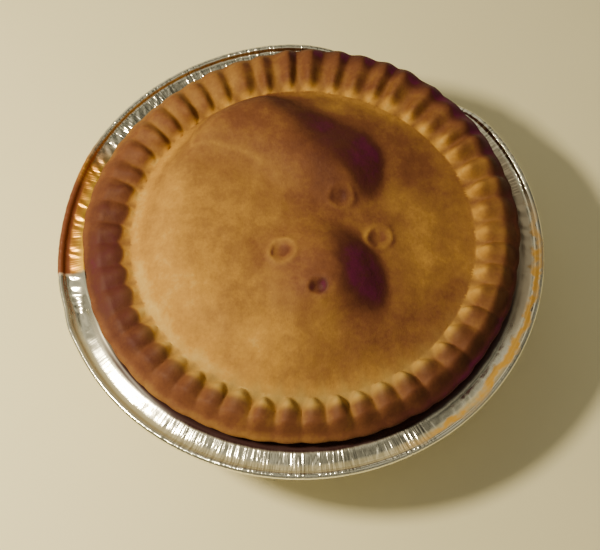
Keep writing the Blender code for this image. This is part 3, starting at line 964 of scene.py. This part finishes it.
def pleats_at(degrees):
    """A soft wave about zero, whose peaks lean one way or the other."""
    pleat, share = between(degrees, PLEAT_EDGES)
    peak = PLEAT_PEAKS[pleat]
    rise = ease(np.where(share < peak, share / peak, (1 - share) / (1 - peak)))
    return PLEAT_HEIGHTS[pleat] * rise - 0.5 * PLEAT_HEIGHTS.mean()


print("pleats:", span(np.diff(PLEAT_EDGES)), "degrees wide")

# %% [markdown]
# ## Pressing the pleats in
# On the near left and on the right the pleats are faint, so a hill round the dish takes them
# away there. The wall, the flange and the bead each take a different share of them.

# %% Pleats in the foil
PLEAT_ON_WALL = 0.00042
PLEAT_ON_FLANGE = 0.00055
PLEAT_ON_BEAD = 0.00007
PLEAT_SKEW = 400  # degrees round for each metre out
SKEW_FROM = 0.0620
SMOOTHED = (0.92, 218, 22)  # how much smoother, where, in degrees from +X, and how widely
CALM = (0.97, 334, 50)
# where each part begins or ends: a height or a radius, and a run
WALL_FROM_Z = (0.0004, 0.0030)
WALL_FROM_R = (0.0460, 0.0020)
WALL_TO_Z = (0.0262, 0.0015)
FLANGE_FROM = (0.0601, 0.0032)
FLANGE_TO = (0.0626, 0.0026)
BEAD_FROM = (0.0640, 0.0012)

x, y, z, radius, degrees = read_round(foil)
smooth = sum(share * hill_round(degrees, at, spread) for share, at, spread in (SMOOTHED, CALM))
fold = pleats_at(degrees + PLEAT_SKEW * (radius - SKEW_FROM)) * (1 - smooth)
on_wall = climb(z, *WALL_FROM_Z) * (1 - climb(z, *WALL_TO_Z)) * climb(radius, *WALL_FROM_R)
on_flange = climb(radius, *FLANGE_FROM) * (1 - climb(radius, *FLANGE_TO))
on_bead = climb(radius, *BEAD_FROM)
out = (PLEAT_ON_WALL * on_wall + PLEAT_ON_BEAD * on_bead) * fold
up = (PLEAT_ON_FLANGE * on_flange + PLEAT_ON_BEAD * on_bead) * fold
print("pleats move the foil by", span(out / MM), "mm")

# %% [markdown]
# ## A dent, a crushed stretch and a bent flange
# Handling bent the flange. It is pressed down a little at the near left, dented and crushed at
# the left, and its crest is lower on the right. At the far right it is pushed down under the
# pastry, which is a turn about a hinge near the wall.

# %% Bends in the foil
DENT_AT = 199
DENT_SPREAD = 5
DENT_DEPTH = 0.0013
DENT_ACROSS = (0.0624, 0.0024)
BUCKLE = 0.0004  # the bead's wave beside the dent
BUCKLE_WAVES = 18
PRESSED = 0.0009
PRESSED_AT = (213, 19)
PRESSED_FROM = (0.0590, 0.0020)
LOWER = 0.0015  # the crest is lower by up to twice this, but not more than the next
LOWER_MOST = 0.0018
HIGHEST_AT = 218
CREST_FROM = (0.0570, 0.0022)
CREST_TO = (0.0641, 0.0033)
WARP = 0.00018
WARP_WAVES = (3, 40)  # how many, and turned by so much
WARP_FROM = (0.0575, 0.0060)
FOIL_MOVES = (0.0001, 0.0008, 280)  # the rolled edge isn't quite round either
CRUSHED = 0.0006
CRUSHED_AT = (172, 15)
MOVES_FROM = (0.0575, 0.0040)
HINGE_R = 0.0582
HINGE_Z = 0.0280
HINGE_TURN = 62
HINGE_AT = (60, 17)
SHARPEST_FOIL = 50  # degrees between faces that still shade as one

dent = hill_round(degrees, DENT_AT, DENT_SPREAD)
up -= DENT_DEPTH * dent * hill(radius, *DENT_ACROSS)
up -= PRESSED * hill_round(degrees, *PRESSED_AT) * climb(radius, *PRESSED_FROM)
lower = np.minimum(LOWER_MOST, LOWER * (1 - np.cos(np.radians(degrees - HIGHEST_AT))))
crest = climb(radius, *CREST_FROM) * np.clip((CREST_TO[0] - radius) / CREST_TO[1], 0, 1)
up -= lower * crest * (z > WALL_TO_Z[0])
out += BUCKLE * dent * on_bead * np.sin(np.radians((degrees - DENT_AT) * BUCKLE_WAVES))
warped = np.sin(np.radians(WARP_WAVES[0] * degrees + WARP_WAVES[1]))
up += WARP * warped * climb(radius, *WARP_FROM)
moved = lopsided(degrees, *FOIL_MOVES) - CRUSHED * hill_round(degrees, *CRUSHED_AT)
out += moved * climb(radius, *MOVES_FROM)
radius, z = radius + out, z + up

turn = np.radians(HINGE_TURN) * hill_round(degrees, *HINGE_AT)
past = radius > HINGE_R
run, rise = radius - HINGE_R, z - HINGE_Z
bent_radius = HINGE_R + run * np.cos(turn) + rise * np.sin(turn)
bent_z = HINGE_Z - run * np.sin(turn) + rise * np.cos(turn)
radius, z = np.where(past, bent_radius, radius), np.where(past, bent_z, z)
angle = np.radians(degrees)
write_corners(foil, np.stack((radius * np.cos(angle), radius * np.sin(angle), z), 1))
pick(foil)
bpy.ops.object.shade_smooth_by_angle(angle=math.radians(SHARPEST_FOIL))
print("rolled edge reaches", round(float(radius.max()) / MM, 2), "mm from the axis")

# %% [markdown]
# ## Baked pastry
# Pastry goes from cream through gold to dark brown as it bakes, so one colour ramp holds the
# whole bake, and the bake attribute plus mottling at three sizes picks from it. Fine grain gives
# the floury, slightly pitted skin, and the browner it is, the more it shines. Where the doughy
# attribute says so, a paler and greener colour is mixed in.

# %% The pastry's finish
BAKE_AND_SHADE_COLOURS = (
    (0.00, (0.62, 0.41, 0.120)),
    (0.18, (0.48, 0.243, 0.043)),
    (0.36, (0.275, 0.131, 0.031)),
    (0.56, (0.162, 0.058, 0.021)),
    (0.78, (0.092, 0.026, 0.014)),
    (0.90, (0.085, 0.018, 0.018)),
    # the last stop's purple is the tint of deep shade, painted in where the browning runs highest,
    # on the lobes' right sides
    (1.00, (0.106, 0.011, 0.042)),
)
DOUGHY_COLOUR = (0.37, 0.25, 0.075, 1)
DOUGHY_SHARE = 0.75
BROAD_SIZE, MOTTLE_SIZE, SPECKLE_SIZE, GRAIN_SIZE = 0.014, 0.0034, 0.0010, 0.00045
GLOSS = 0.18
PIT_HEIGHT = 0.00022
PIT_STRENGTH = 0.55


def pastry_finish():
    pastry = Look(bpy.data.materials.new("baked_pastry"))
    place = pastry.place()
    bake = pastry.node("ShaderNodeAttribute", {"attribute_name": "bake"}, output="Fac")
    broad = pastry.noise(place, BROAD_SIZE, detail=2)
    mottle = pastry.noise(place, MOTTLE_SIZE, detail=4, roughness=0.6)
    speckle = pastry.noise(place, SPECKLE_SIZE, detail=2)
    grain = pastry.noise(place, GRAIN_SIZE, detail=3, roughness=0.65)
    level = bake + (broad - 0.5) * 0.34 + (mottle - 0.5) * 0.24 + (speckle - 0.5) * 0.14
    golden = pastry.ramp(level.kept(), BAKE_AND_SHADE_COLOURS)
    doughy = pastry.node("ShaderNodeAttribute", {"attribute_name": "doughy"}, output="Fac")
    pits = grain * 0.6 + speckle * 0.4
    pastry.set(
        Base_Color=pastry.mix(doughy * DOUGHY_SHARE, golden, DOUGHY_COLOUR),
        Roughness=(0.74 - level * 0.18 + (mottle - 0.5) * 0.15).kept(),
        Specular_IOR_Level=GLOSS,
        Normal=pastry.bump(pits, PIT_HEIGHT, PIT_STRENGTH),
    )
    return pastry.owner


def dress(piece, material):
    piece.data.materials.clear()
    piece.data.materials.append(material)
    print(piece.name, "takes", material.name)


dress(pie, pastry_finish())

# %% [markdown]
# ## Bright foil
# Foil is bare metal, nearly a mirror. Between the modelled pleats run much finer ones, in
# bunches, which are cheaper as bumps: noise that changes quickly round the dish and slowly
# outwards. On the left, gravy boiled over and dried to an amber film, brown where it is thick.
# A dark band under the pastry's near edge is painted shadow, golden fat lies in a wandering line
# at the near right, a tan band on the near side's rolled edge is a thin film with the floor's
# reflection painted in, and the flange at the right is darkened and dulled with painted shade.
# Each mark is a mask, a stretch of the rim times a ring of the dish: there the metal takes its
# colour and loses some shine.

# %% The foil's finish
# each stain and painted shade: its stretch, as its middle, edge and core in degrees from +X, and
# its ring
FILM = ((180, 34, 22), (0.0585, 0.0672))
THICK_FILM = ((176, 20, 11), (0.0634, 0.0674))
FILM_ENDS = (158, 30.5, 29)  # both end sharply here
# a dark, dull band under the pastry's near edge: painted shadow
EDGE_SHADOW = ((278, 82, 60), (0.0575, 0.0611))
FAT = ((332, 44, 24), (0.0644, 0.0666, 0.0006, 0.0090))  # also its softness and how it wanders
FAT_PATCHES = (0.28, 0.50)
# a tan band on the near side's rolled edge: a thin film, with a painted reflection of the floor
TAN_AND_REFLECTION = ((265, 80, 55), (0.0642, 0.0665))
# the flange at the right, darkened and dulled: painted shade from the pastry beside it
RIGHT_SHADE = ((2, 36, 18), (0.0580, 0.0644))
# stretches where the fine pleats and the dimples fade out
PRESSED_FLAT = (212, 31, 21)
FAINT = (338, 42, 30)
UNDIMPLED = (200, 18, 12)
METAL_COLOURS = ((0.30, (0.80, 0.77, 0.64)), (0.70, (0.92, 0.90, 0.78)))
RIGHT_SHADE_COLOUR = (0.40, 0.30, 0.20, 1)
TAN_AND_REFLECTION_COLOUR = (0.56, 0.47, 0.24, 1)
EDGE_SHADOW_COLOUR = (0.045, 0.018, 0.018, 1)
FAT_COLOUR = (0.50, 0.26, 0.02, 1)
AMBER_INSIDE = (0.82, 0.46, 0.06, 1)
AMBER_OUTSIDE = (0.66, 0.29, 0.05, 1)
THICK_COLOUR = (0.17, 0.048, 0.016, 1)
RAGGED_SIZE, SMUDGE_SIZE, DIMPLE_SIZE = 0.0035, 0.0075, 0.0016
AMBER_CHANGES = (0.0605, 0.0630)
FINE_PLEATS = 75  # waves for each radian, roughly
FINE_BUNCHES = 7
FINE_HEIGHT = 0.0007
DIMPLE_HEIGHT = 0.00012


def foil_finish():
    bright = Look(bpy.data.materials.new("bright_foil"))
    place = bright.place()
    parts = bright.node("ShaderNodeSeparateXYZ", {}, {0: place})
    east, north = (Wire(bright, parts.socket.node.outputs[k]) for k in (0, 1))
    out = bright.node("ShaderNodeMath", {"operation": "SQRT"}, {0: east * east + north * north})
    round_place = bright.node(
        "ShaderNodeCombineXYZ", {}, {0: east / out, 1: north / out, 2: out * 1.5}
    )
    ragged = (bright.noise(place, RAGGED_SIZE) - 0.5) * 0.012
    smudge = bright.noise(place, SMUDGE_SIZE)

    def stretch(middle, edge, core):
        """A stretch of the rim: 0 beyond its edge, 1 in its core, in degrees from its middle."""
        turn = math.radians(middle)
        facing = (east * math.cos(turn) + north * math.sin(turn)) / out + ragged
        return facing.step(math.cos(math.radians(edge)), math.cos(math.radians(core)))

    def ring(inner, outer, soft=0.0005, wander=0.0):
        """A ring of the dish: 1 between two radii, fading softly."""
        edge = out + ragged * 0.05 + (smudge - 0.5) * wander
        return edge.step(inner - soft, inner + soft) * (1 - edge.step(outer - soft, outer + soft))

    def stain_and_shade(where, across):
        return stretch(*where) * ring(*across)

    film = stain_and_shade(*FILM) * stretch(*FILM_ENDS)
    thick = stain_and_shade(*THICK_FILM) * stretch(*FILM_ENDS)
    fat = stain_and_shade(*FAT) * smudge.step(*FAT_PATCHES)
    edge_shadow, tan_and_reflection, right_shade = stain_and_shade(*EDGE_SHADOW), stain_and_shade(*TAN_AND_REFLECTION), stain_and_shade(*RIGHT_SHADE)
    metal = bright.ramp(smudge, METAL_COLOURS)
    # the right flange's shade, the tan band's floor reflection and the band under the near edge
    # are painted in here
    for share, colour in (
        (right_shade * 0.7, RIGHT_SHADE_COLOUR),
        (tan_and_reflection * 0.7, TAN_AND_REFLECTION_COLOUR),
        (edge_shadow, EDGE_SHADOW_COLOUR),
        (fat * 0.95, FAT_COLOUR),
    ):
        metal = bright.mix(share, metal, colour)
    amber = bright.mix(out.step(*AMBER_CHANGES), AMBER_INSIDE, AMBER_OUTSIDE)
    amber = bright.mix(thick, amber, THICK_COLOUR)
    # the fine pleats are strongest on the wall, and fade on the flange's smooth stretches
    fine = bright.noise(round_place, 1 / FINE_PLEATS, detail=1)
    bunches = bright.noise(round_place, 1 / FINE_BUNCHES, detail=1).step(0.40, 0.60)
    flat = (1 - stretch(*PRESSED_FLAT) * 0.95) * (1 - stretch(*FAINT) * 0.94)
    bare = (1 - out.step(0.0570, 0.0580)) * 1.4 + out.step(0.0600, 0.0612) * flat
    pleats = fine * (bunches * 0.75 + 0.25) * (1 - film * 0.7) * bare
    creased = bright.bump(pleats, FINE_HEIGHT)
    dimples = bright.noise(place, DIMPLE_SIZE) * (1 - stretch(*UNDIMPLED) * 0.8)
    bright.set(
        Base_Color=bright.mix(film, metal, amber),
        Metallic=(1 - thick * 0.85 - fat * 0.55 - tan_and_reflection * 0.45 - edge_shadow).kept(),
        Roughness=0.15 + (smudge - 0.5) * 0.10 + film * 0.20 + edge_shadow * 0.3 + right_shade * 0.18,
        Normal=bright.bump(dimples, DIMPLE_HEIGHT, 0.3, creased),
    )
    return bright.owner


dress(foil, foil_finish())

# %% [markdown]
# ## The floor's finish
# A plain pale surface with a trace of unevenness, so that the pie's shadow reads clearly.

# %% The floor's finish
FLOOR_COLOURS = ((0.3, (0.91, 0.84, 0.55)), (0.7, (0.93, 0.86, 0.57)))


def floor_finish():
    matt = Look(bpy.data.materials.new("pale_floor"))
    cloudy = matt.noise(matt.place(), 0.05, detail=2)
    matt.set(Base_Color=matt.ramp(cloudy, FLOOR_COLOURS), Roughness=0.6)
    return matt.owner


dress(floor, floor_finish())

# %% [markdown]
# ## The pieces on the body
# Each new piece rides on the one body, and the solid that it stands for is hidden.

# %% The pieces ride on the body
for piece, node, slot in ((pie, "pie", "pastry"), (foil, "foil_dish", "foil")):
    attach(piece, "root")
    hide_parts(node)
